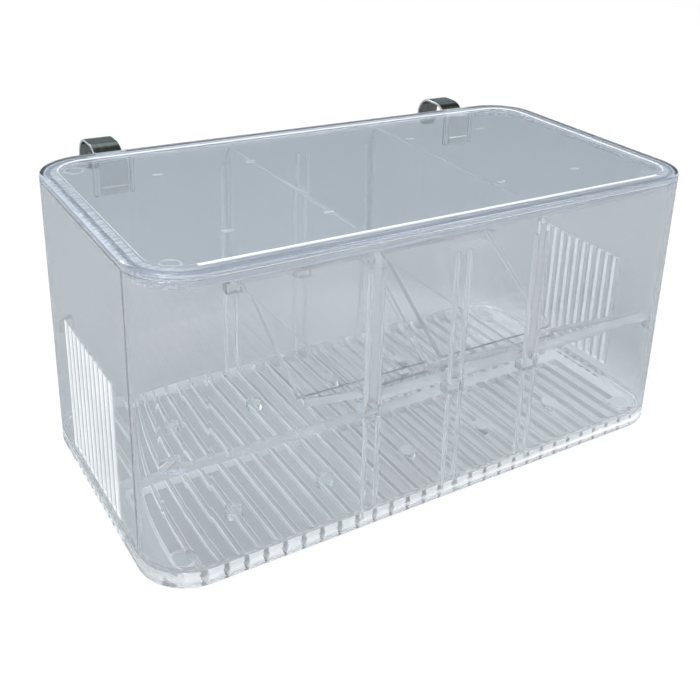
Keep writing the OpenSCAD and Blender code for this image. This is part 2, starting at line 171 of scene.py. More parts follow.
# Shading normals per corner: a face along a flat direction keeps its own, and any other takes the
# area-weighted mean of its neighbours within an angle, where the flat ones weigh most.
def settleNormals(obj, flatDirections=((1, 0, 0), (0, 1, 0), (0, 0, 1)), sharpDeg=32, flatWeight=1000.0):
    straight, tiny = 0.99995, 1e-12                      # cosine of a flat face, least area and length
    mesh = obj.data
    polys, corners = len(mesh.polygons), len(mesh.loops)
    normal, area = np.empty(polys * 3), np.empty(polys)
    mesh.polygons.foreach_get("normal", normal)
    mesh.polygons.foreach_get("area", area)
    normal = normal.reshape(-1, 3)
    total = np.empty(polys, int)
    mesh.polygons.foreach_get("loop_total", total)
    vertex = np.empty(corners, int)
    mesh.loops.foreach_get("vertex_index", vertex)
    poly = np.repeat(np.arange(polys), total)
    directions = np.array(flatDirections, float)
    directions /= np.linalg.norm(directions, axis=1)[:, None]
    flat = (np.abs(normal @ directions.T) > straight).any(1)
    order = np.argsort(vertex, kind="stable")
    sortedVertex = vertex[order]
    count = np.bincount(sortedVertex, minlength=len(mesh.vertices))
    first = np.concatenate([[0], np.cumsum(count)[:-1]])
    k = count[sortedVertex]                              # corners sharing this corner's vertex
    a = np.repeat(np.arange(corners), k)
    b = first[sortedVertex[a]] + (np.arange(len(a)) - np.repeat(np.cumsum(k) - k, k))
    faceA, faceB = poly[order[a]], poly[order[b]]
    near = (normal[faceA] * normal[faceB]).sum(1) > math.cos(math.radians(sharpDeg))
    weight = (area[faceB] + tiny) * np.where(flat[faceB], flatWeight, 1.0) * near
    result = np.empty((corners, 3))
    for axis in range(3):
        result[order, axis] = np.bincount(a, weights=weight * normal[faceB, axis], minlength=corners)
    own = flat[poly]
    result[own] = normal[poly[own]]
    length = np.linalg.norm(result, axis=1)
    lost = length < tiny
    result[lost] = normal[poly[lost]]
    result /= np.maximum(np.linalg.norm(result, axis=1), tiny)[:, None]
    mesh.polygons.foreach_set("use_smooth", np.ones(polys, bool))
    mesh.normals_split_custom_set(result.tolist())
    mesh.update()


def addMaterials(obj, materials):
    for material in materials:
        obj.data.materials.append(material)


# Faces of a tool keep their material, so that what it cuts or adds can look satin
def satinTool(obj, materials, index=1):
    addMaterials(obj, materials)
    obj.data.polygons.foreach_set("material_index", np.full(len(obj.data.polygons), index))
    return obj


# Gives the second material to every face that does not look along the broad direction
def satinEdges(obj, materials, broad, near=0.99):
    obj.data.materials.clear()
    addMaterials(obj, materials)
    normal = np.empty(len(obj.data.polygons) * 3)
    obj.data.polygons.foreach_get("normal", normal)
    along = np.abs(normal.reshape(-1, 3) @ np.array(broad, float))
    obj.data.polygons.foreach_set("material_index", (along < near).astype(int))


# Ties a piece to its body and hides the CAD node that it stands for
def finishPiece(obj, body, node):
    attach(obj, body)
    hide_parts(node)


# Materials

def newMaterial(name):
    material = bpy.data.materials.new(name)
    material.use_nodes = True
    return material, material.node_tree, material.node_tree.nodes["Principled BSDF"]


# Carries a value from one span to another and holds it inside
def spread(tree, value, fromSpan=(0, 1), toSpan=(0, 1)):
    node = tree.nodes.new("ShaderNodeMapRange")
    for name, number in zip(("From Min", "From Max", "To Min", "To Max"), (*fromSpan, *toSpan)):
        node.inputs[name].default_value = number
    tree.links.new(value, node.inputs["Value"])
    return node.outputs["Result"]


# One sum on numbers or on other nodes' outputs
def calculate(tree, operation, *values):
    node = tree.nodes.new("ShaderNodeMath")
    node.operation = operation
    for socket, value in zip(node.inputs, values):
        if isinstance(value, (int, float)):
            socket.default_value = value
        else:
            tree.links.new(value, socket)
    return node.outputs[0]


def axisOf(tree, vector, axis):
    split = tree.nodes.new("ShaderNodeSeparateXYZ")
    tree.links.new(vector, split.inputs[0])
    return split.outputs[axis]


def noise(tree, vector, scale, detail):
    node = tree.nodes.new("ShaderNodeTexNoise")
    node.inputs["Scale"].default_value = scale
    node.inputs["Detail"].default_value = detail
    tree.links.new(vector, node.inputs["Vector"])
    return node.outputs["Fac"]


def stretched(tree, vector, scale, turn=(0, 0, 0)):
    node = tree.nodes.new("ShaderNodeMapping")
    node.inputs["Rotation"].default_value = turn
    node.inputs["Scale"].default_value = scale
    tree.links.new(vector, node.inputs["Vector"])
    return node.outputs["Vector"]


# A colour ramp; stops are pairs of a place and a colour
def ramp(tree, factor, stops):
    node = tree.nodes.new("ShaderNodeValToRGB")
    marks = node.color_ramp.elements
    for mark, (spot, colour) in zip(marks, (stops[0], stops[-1])):
        mark.position, mark.color = spot, (*colour, 1)
    for spot, colour in stops[1:-1]:
        marks.new(spot).color = (*colour, 1)
    tree.links.new(factor, node.inputs["Fac"])
    return node.outputs["Color"]


# Mixes two colours, each of them fixed or another node's output
def colourMix(tree, factor, first, second):
    mix = tree.nodes.new("ShaderNodeMix")
    mix.data_type = "RGBA"
    tree.links.new(factor, mix.inputs["Factor"])
    for name, value in (("A", first), ("B", second)):
        socket = [k for k in mix.inputs if k.name == name and k.type == "RGBA"][0]
        if isinstance(value, tuple):
            socket.default_value = (*value, 1)
        else:
            tree.links.new(value, socket)
    return [k for k in mix.outputs if k.type == "RGBA"][0]


def roughen(tree, shader, height, strength, distance):
    bump = tree.nodes.new("ShaderNodeBump")
    bump.inputs["Strength"].default_value = strength
    bump.inputs["Distance"].default_value = distance
    tree.links.new(height, bump.inputs["Height"])
    tree.links.new(bump.outputs["Normal"], shader.inputs["Normal"])


# Clearness by height: the floor's upper face is hazier than the walls, most at the right; this haze is
# painted light that lightens the bars
def footHaze(tree, place, look):
    none, full = (0, 0, 0), (1, 1, 1)
    level = spread(tree, axisOf(tree, place, "Z"), (0, look["hazeTop"]))
    floorFace = ramp(tree, level, list(zip(look["hazeStops"], (none, full, full, none))))
    haze = spread(tree, axisOf(tree, place, "X"), look["hazeSpan"], look["footHaze"])
    return calculate(tree, "SUBTRACT", look["clear"], calculate(tree, "MULTIPLY", floorFace, haze))


# What every clear plastic here shares; spans are shares of a noise, lengths in metres
plasticLook = dict(ior=1.49, cloudDetail=3, cloudSpan=(0.3, 0.7), wipeScale=(18, 900, 900),
                   wipeTurn=(0.3, 0.2, 0.6), wipeDetail=2, wipeSpan=(0.45, 0.75), waveDetail=1,
                   waveDepth=0.001)


# A moulded clear plastic: faint flow clouds in the tint, fine wipe marks in the roughness and
# a slow waviness in the surface
def clearPlastic(name, look):
    p = plasticLook
    material, tree, shader = newMaterial(name)
    place = tree.nodes.new("ShaderNodeTexCoord").outputs["Object"]
    shader.inputs["IOR"].default_value = p["ior"]
    shader.inputs["Transmission Weight"].default_value = look["clear"]
    if "footHaze" in look:
        tree.links.new(footHaze(tree, place, look), shader.inputs["Transmission Weight"])
    clouds = noise(tree, place, look["cloudScale"], p["cloudDetail"])
    tint = ramp(tree, clouds, list(zip(p["cloudSpan"], (look["tintLow"], look["tintHigh"]))))
    tree.links.new(tint, shader.inputs["Base Color"])
    wipes = noise(tree, stretched(tree, place, p["wipeScale"], p["wipeTurn"]), 1, p["wipeDetail"])
    tree.links.new(spread(tree, wipes, p["wipeSpan"], look["rough"]), shader.inputs["Roughness"])
    waves = noise(tree, place, look["waveScale"], p["waveDetail"])
    roughen(tree, shader, waves, look["waveStrength"], p["waveDepth"])
    return material


# Bent stainless strip with its grain along it, duller on the inner leg. Its colour holds painted light:
# a painted dark reflection outside, painted light on the inner leg and a painted highlight on its thin edges
def brushedStrip(name, look):
    material, tree, shader = newMaterial(name)
    shader.inputs["Metallic"].default_value = 1.0
    place = tree.nodes.new("ShaderNodeTexCoord").outputs
    grain = noise(tree, stretched(tree, place["Object"], look["grainScale"]), 1, look["grainDetail"])
    tint = ramp(tree, grain, list(zip(look["grainSpan"], (look["dark"], look["light"]))))
    # Painted light: the inner leg (by its y) and the thin edges take the light inner colour, the rest a
    # painted dark reflection
    outside = spread(tree, axisOf(tree, place["Object"], "Y"), look["innerSpan"])
    thinEdge = calculate(tree, "ABSOLUTE", axisOf(tree, place["Normal"], "X"))
    broad = colourMix(tree, outside, look["inner"], tint)
    tree.links.new(colourMix(tree, thinEdge, broad, look["inner"]), shader.inputs["Base Color"])
    dull = spread(tree, outside, (0, 1), (look["innerRough"], 0))
    rough = calculate(tree, "ADD", spread(tree, grain, (0, 1), look["rough"]), dull)
    tree.links.new(rough, shader.inputs["Roughness"])
    roughen(tree, shader, grain, look["grainStrength"], look["grainDepth"])
    return material


# footHaze is a painted-light haze on the floor's upper face, growing towards the right
boxLook = dict(clear=0.96, cloudScale=30, tintLow=(0.945, 0.95, 0.97), tintHigh=(0.92, 0.96, 0.97),
               rough=(0.0, 0.03), waveScale=26, waveStrength=0.012, footHaze=(0.14, 0.72),
               hazeSpan=(-0.04, 0.09), hazeTop=0.01, hazeStops=(0.2, 0.26, 0.33, 0.45))
cutLook = dict(clear=0.08, cloudScale=40, tintLow=(0.74, 0.765, 0.785), tintHigh=(0.82, 0.84, 0.855),
               rough=(0.3, 0.45), waveScale=60, waveStrength=0.02)
ribLook = dict(clear=0.6, cloudScale=40, tintLow=(0.86, 0.89, 0.92), tintHigh=(0.93, 0.95, 0.97),
               rough=(0.1, 0.2), waveScale=60, waveStrength=0.02)
lidLook = dict(clear=0.96, cloudScale=11, tintLow=(0.87, 0.91, 0.955), tintHigh=(0.89, 0.93, 0.965),
               rough=(0.0, 0.012), waveScale=22, waveStrength=0.006)
markLook = dict(clear=0.7, cloudScale=60, tintLow=(0.90, 0.94, 0.98), tintHigh=(0.97, 0.98, 1.0),
                rough=(0.05, 0.15), waveScale=60, waveStrength=0.02)
# Painted shade: a dark blue-grey, mostly matt look for where the lid sits on the box
seatShadeLook = dict(clear=0.3, cloudScale=20, tintLow=(0.57, 0.61, 0.67), tintHigh=(0.62, 0.66, 0.72),
                rough=(0.25, 0.35), waveScale=40, waveStrength=0.02)
# Painted highlight: a pale grey, mostly matt look for lines along the lid's step and rim
paintedLineLook = dict(clear=0.15, cloudScale=40, tintLow=(0.74, 0.76, 0.78), tintHigh=(0.80, 0.815, 0.83),
                rough=(0.25, 0.35), waveScale=60, waveStrength=0.02)
insertLook = dict(clear=0.93, cloudScale=18, tintLow=(0.97, 0.98, 0.99), tintHigh=(0.985, 0.99, 0.995),
                  rough=(0.0, 0.03), waveScale=30, waveStrength=0.012)
# dark and light are the grain's ends of a painted dark reflection; inner is painted light for the inner leg
# and thin edges
hookLook = dict(dark=(0.15, 0.165, 0.145), light=(0.26, 0.275, 0.25), inner=(0.84, 0.84, 0.82),
                innerRough=0.25, innerSpan=(0.0545, 0.0575), rough=(0.16, 0.28), grainScale=(7000, 60, 60),
                grainDetail=3, grainSpan=(0.35, 0.65), grainStrength=0.08, grainDepth=0.0001)
boxPlastic = clearPlastic("boxPlastic", boxLook)
boxCut = clearPlastic("boxCut", cutLook)
boxRib = clearPlastic("boxRib", ribLook)
lidPlastic = clearPlastic("lidPlastic", lidLook)
lidMark = clearPlastic("lidMark", markLook)
lidSeatShade = clearPlastic("lidSeatShade", seatShadeLook)
lidPaintedLines = clearPlastic("lidPaintedLines", paintedLineLook)
insertPlastic = clearPlastic("insertPlastic", insertLook)
insertEdge = clearPlastic("insertEdge", ribLook)
hookSteel = brushedStrip("hookSteel", hookLook)
print("materials ready")

# Box

boxSizes = dict(length=205, width=110, height=98.8, corner=17, wall=1.8, floor=3, bottomRadius=1,
                fillet=4.5, rimRound=0.35, cornerSteps=28)
slotSizes = dict(count=29, pitch=6.46, width=4.2, flare=1.0, near=3, margin=2.8, edge=0.35)
padSizes = dict(pitch=33.7, offset=28, radius=3, low=0.15, rise=0.2, bossRadius=4, bossLow=1.5,
                bossHeight=0.8, inset=12)
endSizes = dict(count=11, pitch=4.4, width=2.8, low=8.5, high=56, edge=0.25, windowLow=1, windowHigh=3.4,
                windowDepth=3.2)
ribSizes = dict(pitch=31.6, gap=3.5, thick=1.1, depth=1.5, low=2, top=90, nose=0.35, stopDepth=4.5,
                stopLow=39.5, stopNose=0.5, stopSpare=0.2, offFlush=0.01, ledgeTop=43.5,
                dividerBottom=45.5, ledgeWidth=1.55,
                cornerLedge=((92.0, 47.5), (98.4, 47.5), (92.0, 52.7)))
hookSizes = dict(x=74.5, width=10, thick=1, front=55.3, back=76, top=102, bend=8, small=0.4, legBottom=87.5,
                 innerBottom=84.8, innerY=51.5, notch=96.3, notchSpare=0.3, notchSpan=(-0.5, 3),
                 ridge=87.3, ridgeRadius=0.8, ridgeSink=0.4, ridgeSpare=0.3, endRadius=3.5, edge=0.3,
                 guideGap=1.5, guideHalf=0.6, guideDepth=2.0, guideNose=0.3, guideDrop=0.8)
innerL = boxSizes["length"] / 2 - boxSizes["wall"]
innerW = boxSizes["width"] / 2 - boxSizes["wall"]


# Section of the box from the middle of the underside, up the outside, over the rim, down the
# inside and back along the floor
def boxSection(s, start=12.0):
    t, h, r, f, e = s["wall"], s["height"], s["bottomRadius"], s["fillet"], s["rimRound"]
    return np.concatenate([[[start, 0]], arc(r, r, r, -90, -180, 10), arc(e, h - e, e, 180, 90, 4),
                           arc(t - e, h - e, e, 90, 0, 4), arc(t + f, s["floor"] + f, f, 180, 270, 12),
                           [[start, s["floor"]]]])


# Section of a slot cutter: straight sides that flare out in a quarter round at both faces of the
# wall, so the slot's edges come out rounded. u is across the slot, v is through the wall.
def slotCutter(half, lean, low, high, edge, below=1.5, above=3.0):
    def side(sign):
        top = arc(half + edge, high - edge, edge, 180, 90, 4)
        bottom = arc(half + lean + edge, low + edge, edge, 270, 180, 4)
        points = np.concatenate([[[bottom[0, 0], low - below]], bottom, top, [[top[-1, 0], high + above]]])
        return points * [sign, 1]
    return np.concatenate([side(1), side(-1)[::-1]])


# Outline of a rib seen from above: square where it roots in the wall, rounded at its nose
def ribOutline(half, depth, nose, root=0.7, noseShare=0.95):
    nose = min(nose, half * noseShare)
    return np.concatenate([[[half, -root]], arc(half - nose, depth - nose, nose, 0, 90, 4),
                           arc(-half + nose, depth - nose, nose, 90, 180, 4), [[-half, -root]]])


def disc(radius, steps=32):
    a = np.linspace(0, 2 * math.pi, steps, endpoint=False)
    return np.stack([radius * np.cos(a), radius * np.sin(a)], 1)


# Places for prisms standing on the inside of the front and back walls: u runs along the wall,
# v inwards from it, w upwards
def wallPlaces(xs):
    rows = []
    for x in xs:
        rows.append([[x, innerW, 0], [1, 0, 0], [0, -1, 0], [0, 0, 1]])
        rows.append([[x, -innerW, 0], [1, 0, 0], [0, 1, 0], [0, 0, 1]])
    return rows


# Places for prisms that stand upright at points of the plan
def upright(points):
    return [[[x, y, 0], [1, 0, 0], [0, 1, 0], [0, 0, 1]] for x, y in points]


# The shell, less its floor slots, end slots and notches, plus pads, ribs, ledges, stops and guides.
# Where the plan's corner curves, a floor slot ends sooner: by the circle's own depth at its far edge.
def makeBox():
    s, f, p, e, r, h = boxSizes, slotSizes, padSizes, endSizes, ribSizes, hookSizes
    plan = roundedPlan(s["length"], s["width"], s["corner"], s["cornerSteps"])
    box = sweptShell("clear_box", boxSection(s), plan, s["corner"])
    looks = (boxPlastic, boxCut, boxRib)
    addMaterials(box, looks)
    xs = (np.arange(f["count"]) - (f["count"] - 1) / 2) * f["pitch"]
    cutter = slotCutter(f["width"] / 2, f["flare"] / 2, 0, s["floor"], f["edge"])
    past = np.maximum(0, np.abs(xs) + (f["width"] + f["flare"]) / 2 - s["length"] / 2 + s["corner"])
    far = s["width"] / 2 - f["margin"] - s["corner"] + np.sqrt(s["corner"] ** 2 - past ** 2)
    runs = far - f["near"]
    places = [[[x, a * f["near"], 0], [1, 0, 0], [0, 0, 1], [0, a * run, 0]] for x, run in zip(xs, runs)
              for a in (-1, 1)]
    combine(box, satinTool(prisms("floorCut", cutter, places, 0, 1), looks), "DIFFERENCE")
    print("box: floor slots cut")
    pads = [(i * p["pitch"], y) for i in range(-2, 3) for y in (-p["offset"], p["offset"])]
    combine(box, prisms("pads", disc(p["radius"]), upright(pads), p["low"], s["floor"] + p["rise"]), "UNION")
    bx, by = s["length"] / 2 - p["inset"], s["width"] / 2 - p["inset"]
    bosses = [(a * bx, b * by) for a in (-1, 1) for b in (-1, 1)]
    bossTop = s["floor"] + p["bossHeight"]
    combine(box, prisms("bosses", disc(p["bossRadius"]), upright(bosses), p["bossLow"], bossTop), "UNION")
    pairs = [-r["pitch"], 0, r["pitch"]]
    off = (r["gap"] + r["thick"]) / 2
    ribs = ribOutline(r["thick"] / 2, r["depth"], r["nose"])
    sides = wallPlaces([x + a * off for x in pairs for a in (-1, 1)])
    bars = prisms("ribs", ribs, sides, r["low"], r["top"])
    combine(box, satinTool(bars, looks, 2), "UNION")
    ledge = ribOutline(r["gap"] / 2 + r["ledgeWidth"], r["stopDepth"], r["stopNose"])
    combine(box, prisms("ledges", ledge, wallPlaces(pairs), r["stopLow"], r["ledgeTop"]), "UNION")
    stop = ribOutline(r["gap"] / 2 + r["stopSpare"], r["stopDepth"] - r["offFlush"], r["stopNose"])
    stopPlaces = wallPlaces([pairs[0], pairs[2]])
    combine(box, prisms("stops", stop, stopPlaces, r["ledgeTop"] - over, r["dividerBottom"]), "UNION")
    signs = [[[0, 0, 0], [a, 0, 0], [0, b, 0], [0, 0, 1]] for a in (-1, 1) for b in (-1, 1)]
    combine(box, prisms("cornerLedges", r["cornerLedge"], signs, r["stopLow"], r["ledgeTop"]), "UNION")
    guide = ribOutline(h["guideHalf"], h["guideDepth"], h["guideNose"])
    spots = [a * h["x"] + b * (h["width"] / 2 + h["guideGap"]) for a in (-1, 1) for b in (-1, 1)]
    guideTop = s["height"] - h["guideDrop"]
    combine(box, prisms("guides", guide, wallPlaces(spots)[::2], h["innerBottom"], guideTop), "UNION")
    print("box: ribs, stops and pads joined")
    ys = (np.arange(e["count"]) - (e["count"] - 1) / 2) * e["pitch"]
    cutter = slotCutter(e["width"] / 2, 0, 0, s["wall"], e["edge"])
    places = [[[a * innerL, y, 0], [0, 1, 0], [a, 0, 0], [0, 0, 1]] for a in (-1, 1) for y in ys]
    ends = prisms("endCut", cutter, places, e["low"], e["high"])
    combine(box, satinTool(ends, looks), "DIFFERENCE")
    half, deep = e["width"] / 2, e["windowDepth"] + s["wall"] + over
    window = [[-half, 0], [half, 0], [half, deep], [-half, deep]]
    places = [[[a * (innerL - e["windowDepth"]), y, 0], [0, 1, 0], [a, 0, 0], [0, 0, 1]] for a in (-1, 1)
              for y in ys]
    windows = prisms("windowCut", window, places, e["windowLow"], e["windowHigh"])
    combine(box, satinTool(windows, looks), "DIFFERENCE")
    inside, outside = h["notchSpan"]
    half = h["width"] / 2 + h["notchSpare"]
    notch = [[-half, inside], [half, inside], [half, outside], [-half, outside]]
    places = [[[a * h["x"], innerW, 0], [1, 0, 0], [0, 1, 0], [0, 0, 1]] for a in (-1, 1)]
    combine(box, prisms("notchCut", notch, places, h["notch"], s["height"] + over), "DIFFERENCE")
    cleanMesh(box, 0.0005)
    settleNormals(box)
    finishPiece(box, "box_body", "box")


makeBox()
print("box ready")

# Lid

lidSizes = dict(bottom=98.8, rim=2.2, rimWidth=6, edge=1.0, drop=1.0, panel=1.8, lipDepth=3, lipThick=1.5,
                clearance=0.3, lipStart=83.2, lipSeam=0.05, lipReach=4.4, foot=0.25, strip=1.9, fillet=0.35,
                padLength=4, padWidth=2, padHeight=0.5, padRoot=0.6, ringRadius=3.1, ringWidth=0.7,
                ringHeight=0.3, ringRoot=0.4)
# Rows of faces in the lid's section; each look after the first has a number in makeLid
lidRows = dict(seat=slice(4, 19), seam=slice(16, 19), outside=19, stepEdge=slice(-10, -6),
               step=slice(-11, -1))
straight, backward = 0.999, 0.5                          # how far a normal of the plan points along y


# Section of the lid from the middle of its underside out to the lip, round the rim and back to
# the middle of its top
def lidSection(s, start=14.0):
    z = s["bottom"]
    top = z + s["rim"]
    panelTop, panelLow = top - s["drop"], top - s["drop"] - s["panel"]
    w, e, g = s["rimWidth"], s["edge"], s["fillet"]
    foot = w - s["foot"]
    lipOut = boxSizes["wall"] + s["clearance"]
    lipIn = lipOut + s["lipThick"]
    low = z - s["lipDepth"]
    return np.concatenate([
        [[start, panelLow]], arc(foot + g, panelLow + g, g, 270, 180, 3), [[foot, z], [lipIn, z]],
        arc(lipIn - g, low + g, g, 0, -90, 3), arc(lipOut + g, low + g, g, 270, 180, 3), [[lipOut, z]],
        arc(g, z + g, g, 270, 180, 3), arc(e, top - e, e, 180, 90, 8), [[w - s["strip"], top]],
        arc(w - g, top - g, g, 90, 0, 4), arc(w + g, panelTop + g, g, 180, 270, 4), [[start, panelTop]]])


# The lip is left out along the back edge, between the hooks and past them: its points rise to the seat
def lidChange(points, inset, normals):
    s = lidSizes
    x, y, z = np.moveaxis(points, -1, 0)
    back = (normals[..., 1] > straight) & (y > 0) & (np.abs(x) < s["lipStart"])
    points[..., 2] = np.where(back & (z < s["bottom"]) & (inset < s["lipReach"]), s["bottom"], z)
    return points


# The swept lid with its looks by row of the section, among them painted shade on the seat and painted
# highlight lines on the step and rim, and the low marks on its underside
def makeLid():
    s, p, b = lidSizes, padSizes, boxSizes
    stops = [a * (s["lipStart"] + c) for a in (-1, 1) for c in (-s["lipSeam"], s["lipSeam"])]
    plan = roundedPlan(b["length"], b["width"], b["corner"], b["cornerSteps"], stops)
    lid = sweptShell("clear_lid", lidSection(s), plan, b["corner"], lidChange)
    looks = (lidPlastic, lidMark, lidSeatShade, lidPaintedLines)
    addMaterials(lid, looks)
    cols = len(plan[0])
    rows = len(lid.data.polygons) // cols
    along = plan[1][:, 1]
    part = np.zeros((rows, cols), int)
    part[lidRows["seat"]] = 2                            # the rim's underside and the lip: painted shade where the lid sits on the box
    part[lidRows["stepEdge"]] = 3                        # the edge of the step down to the panel: a painted highlight line
    # Painted shade on the rim's outer face along the back
    part[lidRows["outside"], along > backward] = 2
    part[lidRows["step"], along < -straight] = 3         # painted reflection at the front: the whole step, the strip beside it
    part[lidRows["seam"], along < -straight] = 3         # and the rim's lower edge
    index = np.zeros(len(lid.data.polygons), int)
    index[:rows * cols] = part.ravel()
    lid.data.polygons.foreach_set("material_index", index)
    cleanMesh(lid, 0.001)
    under = s["bottom"] + s["rim"] - s["drop"] - s["panel"]
    half, r = s["padLength"] / 2 - s["padWidth"] / 2, s["padWidth"] / 2
    spots = [(i * p["pitch"], y) for i in (-2, -1, 1, 2) for y in (-p["offset"], p["offset"])]
    pads = domes("lidPads", spots, half, r, under, -s["padHeight"], s["padRoot"])
    combine(lid, satinTool(pads, looks), "UNION")
    x, y = b["length"] / 2 - p["inset"], b["width"] / 2 - p["inset"]
    corners = [(c * x, d * y) for c in (-1, 1) for d in (-1, 1)]
    rings = ringMarks("lidRings", corners, s["ringRadius"], s["ringWidth"], under, -s["ringHeight"],
                      s["ringRoot"])
    combine(lid, satinTool(rings, looks), "UNION")
    settleNormals(lid)
    finishPiece(lid, "lid_body", "lid")


# The same grid of points at many spots in one mesh, closed at its first and last row if it has ends
def repeated(name, points, spots, ends):
    rows, cols = points.shape[:2]
    every = points[None] + np.array([[x, y, 0] for x, y in spots])[:, None, None]
    shift = (np.arange(len(spots)) * rows * cols)[:, None, None]
    faces = (gridFaces(rows, cols, True, not ends)[None] + shift).reshape(-1, 4).tolist()
    if ends:
        faces += (np.arange(cols)[None] + shift[:, 0]).tolist()
        faces += (np.arange(cols)[None] + (rows - 1) * cols + shift[:, 0]).tolist()
    obj = meshObject(name, every.reshape(-1, 3), faces)
    faceOut(obj)
    return obj


# Low domes on a long round plan: the plan shrinks by the cosine and rises by the sine of one
# angle, so each dome is a quarter ellipse turned round its plan. Their root goes into the panel.
def domes(name, spots, half, radius, level, height, root, steps=6, endSteps=12):
    turn = np.linspace(0, math.pi / 2, steps + 1)[:-1]
    plan = np.concatenate([arc(side * half, 0, radius, start, start + 180, endSteps)
                           for side, start in ((1, -90), (-1, 90))])
    middle = np.repeat([half, -half], endSteps + 1)
    lift = np.concatenate([[-root * np.sign(height)], height * np.sin(turn)])
    size = np.concatenate([[1.0], np.cos(turn)])
    ring = np.stack([middle[None] + size[:, None] * (plan[:, 0] - middle)[None],
                     size[:, None] * plan[:, 1][None],
                     np.broadcast_to(level + lift[:, None], (len(size), len(plan)))], -1)
    return repeated(name, ring, spots, True)


# Raised rings: a half-round section carried round a circle at each spot, rooted in the panel
def ringMarks(name, spots, radius, width, level, height, root, steps=8, around=40):
    foot = -root * np.sign(height)
    section = np.concatenate([arc(0, 0, 1, 0, 180, steps) * [width / 2, height],
                              [[-width / 2, foot], [width / 2, foot]]])
    a = np.linspace(0, 2 * math.pi, around, endpoint=False)
    reach = radius + section[:, None, 0]
    ring = np.stack([reach * np.cos(a)[None], reach * np.sin(a)[None],
                     np.broadcast_to(level + section[:, None, 1], (len(section), around))], -1)
    return repeated(name, ring, spots, False)


makeLid()
print("lid ready")

# Dividers

dividerSizes = dict(thick=1.8, bead=2.6, beadDepth=3, half=52.9, low=45.5, high=97.3, cut=3.5, drop=3.7,
                    past=2, cutHalf=5, edge=0.22)


# Outline seen from above: a thin plate with a square bead along both ends
def dividerOutline(s):
    t, b, y, d = s["thick"] / 2, s["bead"] / 2, s["half"], s["beadDepth"]
    half = [[b, -y], [b, -y + d], [t, -y + d], [t, y - d], [b, y - d], [b, y]]
    return np.array(half + [[-u, -v] for u, v in half])


# A divider with its two upper corners cut off on the slant
def makeDivider(name, x, body, node):
    s = dividerSizes
    divider = prisms(name, dividerOutline(s), upright([(x, 0)]), s["low"], s["high"])
    near, far = s["half"] - s["cut"], s["half"] + s["past"]
    level, above = s["high"] - s["drop"], s["high"] + s["past"]
    cut = [[near, s["high"]], [s["half"], level], [far, level], [far, above], [near, above]]
    sides = [[[x, 0, 0], [0, a, 0], [0, 0, 1], [1, 0, 0]] for a in (-1, 1)]
    combine(divider, prisms("cut", cut, sides, -s["cutHalf"], s["cutHalf"]), "DIFFERENCE")
    softenEdges(divider, s["edge"])
    satinEdges(divider, (insertPlastic, insertEdge), (1, 0, 0))
    settleNormals(divider)
    finishPiece(divider, body, node)


makeDivider("half_divider_left", -ribSizes["pitch"], "divider_left_body", "divider_left")
makeDivider("half_divider_right", ribSizes["pitch"], "divider_right_body", "divider_right")
print("dividers ready")

# Fry traps

trapSizes = dict(length=59.6, plate=56.6, flangeOut=50.8, flangeIn=47.8, top=45.5, flange=2, thick=2, rim=2.4,
                 rimHeight=1.0, rimSink=0.5, tipIn=2.0, tipLow=14.8, centreX=0.0, rightX=63.5, edge=0.22)


# One sloping plate with a flange at its top and a rim along both sides. Points of the side view are
# (distance from the middle, height); the slope's sine and cosine set the plate's thickness square to it.
def makeTrap(name, x, side, body, node):
    s = trapSizes
    out, inner, top, tip = (s[k] for k in ("flangeOut", "flangeIn", "top", "tipIn"))
    thick, sink = s["thick"], s["rimSink"]
    slope = math.atan2(top - s["tipLow"] - thick, inner - tip)
    sn, cs = math.sin(slope), math.cos(slope)
    low, tipTop = top - s["flange"], top - (inner - tip) * sn / cs
    under = (thick / cs - s["flange"]) * cs / sn
    plate = [[out, top], [inner, top], [tip, tipTop], [tip + thick * sn, tipTop - thick * cs],
             [inner - under, low], [out, low]]
    ear = [[out, top], [inner, top], [inner, low], [out, low]]
    h = s["rimHeight"]
    rim = [[inner + sink * sn, top - sink * cs], [inner, top], [inner - h / sn, top],
           [tip - h * sn, tipTop + h * cs], [tip + sink * sn, tipTop - sink * cs]]
    half, off = s["plate"] / 2, s["plate"] / 2 - s["rim"] / 2
    across, left, right = ([[x + a * off, 0, 0], [0, side, 0], [0, 0, 1], [1, 0, 0]] for a in (0, -1, 1))
    trap = prisms(name, plate, [across], -half, half)
    combine(trap, prisms("ears", ear, [across], -s["length"] / 2, s["length"] / 2), "UNION")
    combine(trap, prisms("rims", rim, [left, right], -s["rim"] / 2, s["rim"] / 2), "UNION")
    softenEdges(trap, s["edge"])
    broad = (0, -side * sn, cs)
    satinEdges(trap, (insertPlastic, insertEdge), broad)
    settleNormals(trap, ((1, 0, 0), (0, 1, 0), (0, 0, 1), broad))
    finishPiece(trap, body, node)


makeTrap("fry_slope_center_back", trapSizes["centreX"], 1, "center_back_body", "center_back_panel")
makeTrap("fry_slope_center_front", trapSizes["centreX"], -1, "center_front_body", "center_front_panel")
makeTrap("fry_slope_right_back", trapSizes["rightX"], 1, "right_back_body", "right_back_panel")
makeTrap("fry_slope_right_front", trapSizes["rightX"], -1, "right_front_body", "right_front_panel")
print("fry traps ready")

# Hooks

# Lengths along the strip's path, from the bends and crossings that hookSizes places
pathSizes = dict(footGap=0.6, afterBend=0.8, blend=((-1.1, 0.0), (-0.6, 0.02), (-0.22, 0.18)), meetLift=0.55,
                 legGap=0.4, endStart=0.04)


# Points down or up a leg of the strip
def leg(y, fromZ, toZ, count):
    return np.stack([np.full(count, y), np.linspace(fromZ, toZ, count)], 1)


